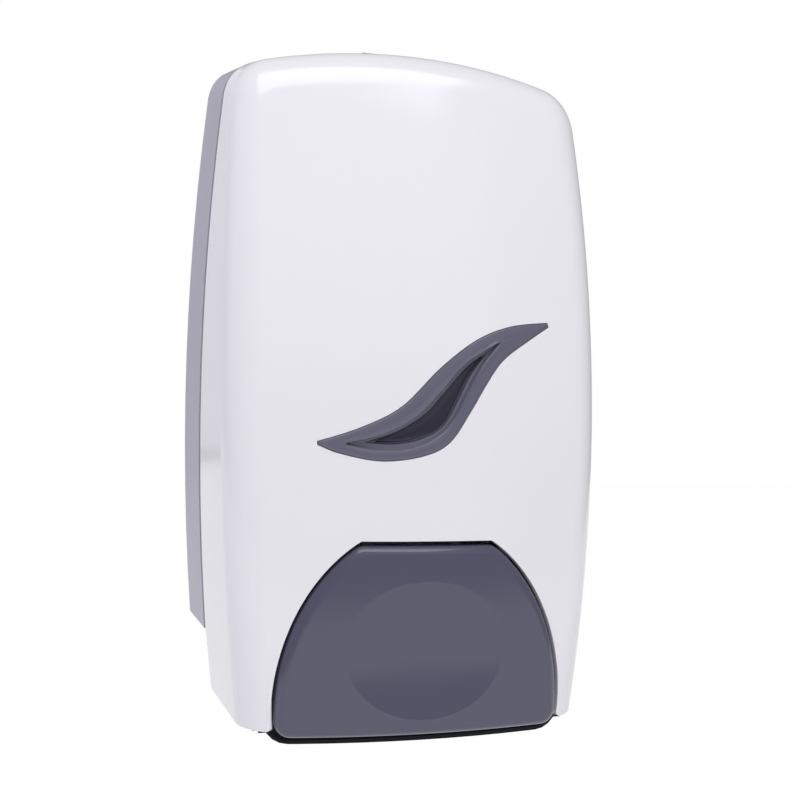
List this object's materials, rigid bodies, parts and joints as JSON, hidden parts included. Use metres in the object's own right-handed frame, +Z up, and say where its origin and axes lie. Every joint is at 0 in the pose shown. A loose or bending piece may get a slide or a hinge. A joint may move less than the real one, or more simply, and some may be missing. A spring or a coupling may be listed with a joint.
{
  "type": "wall mounted soap dispenser",
  "caption": "Wall mounted soap dispenser with a bowed white cover, a leaf-shaped window and a dished push bar; the cover hinges open over a refill bottle and its pump.",
  "frame": {"origin": "centre of the four wall screw holes, on the wall face of the back plate", "axes": "+X to the right as seen from the front, +Y into the wall, +Z up"},
  "size_m": [0.1392, 0.0868, 0.2355],
  "materials": {
    "grey_plate": "satin",
    "bracket_plastic": "satin",
    "screw_steel": "satin",
    "bottle_plastic": "translucent",
    "white_plastic": "gloss",
    "soft_rubber": "matt",
    "valve_rubber": "matt",
    "cover_white": "high gloss",
    "bezel_grey": "satin",
    "smoked_lens": "smoked gloss",
    "frame_black": "matt",
    "pin_steel": "polished",
    "bar_grey": "gloss",
    "piston_plastic": "satin",
    "spring_steel": "bright",
    "button_grey": "satin"
  },
  "bodies": {
    "wall_unit": {"back_plate": "grey_plate", "pump_bracket": "bracket_plastic", "bracket_screws": "screw_steel", "refill_bottle": "bottle_plastic", "retaining_cap": "white_plastic", "neck_gasket": "soft_rubber", "pump_barrel": "white_plastic", "barrel_plug": "white_plastic", "inlet_valve": "valve_rubber"},
    "cover": {"front_cover": "cover_white", "window_bezel": "bezel_grey", "window_lens": "smoked_lens", "push_frame": "frame_black", "frame_screws": "screw_steel", "hinge_pins": "pin_steel", "pivot_pins": "pin_steel"},
    "push": {"push_bar": "bar_grey", "lifter_fork": "bracket_plastic", "lifter_screws": "screw_steel"},
    "pump": {"pump_stem": "white_plastic", "piston": "piston_plastic", "piston_ring": "soft_rubber", "outlet_tip": "soft_rubber", "pump_spring": "spring_steel"},
    "latch": {"latch_button": "button_grey", "latch_spring": "spring_steel"}
  },
  "joints": [
    {"name": "cover_hinge", "type": "hinge", "parent": "wall_unit", "child": "cover", "pos_m": [0, -0.036, -0.102], "axis": [1, 0, 0], "range_deg": [0, 90]},
    {"name": "push_hinge", "type": "hinge", "parent": "cover", "child": "push", "pos_m": [0, -0.073, -0.046], "axis": [1, 0, 0], "range_deg": [0, 14], "stiffness_Nm_per_rad": 0.93, "springref_deg": -10.71},
    {"name": "pump_slide", "type": "slide", "parent": "wall_unit", "child": "pump", "axis": [0, 0, 1], "range_m": [0, 0.0079], "deforming": ["pump_spring"]},
    {"name": "latch_slide", "type": "slide", "parent": "wall_unit", "child": "latch", "axis": [0, 0, -1], "range_m": [0, 0.003], "stiffness_N_per_m": 400, "springref_m": -0.002, "deforming": ["latch_spring"]}
  ],
  "couplings": [
    {"joint": "pump_slide", "follows": "push_hinge", "m_per_rad": 0.03213}
  ]
}
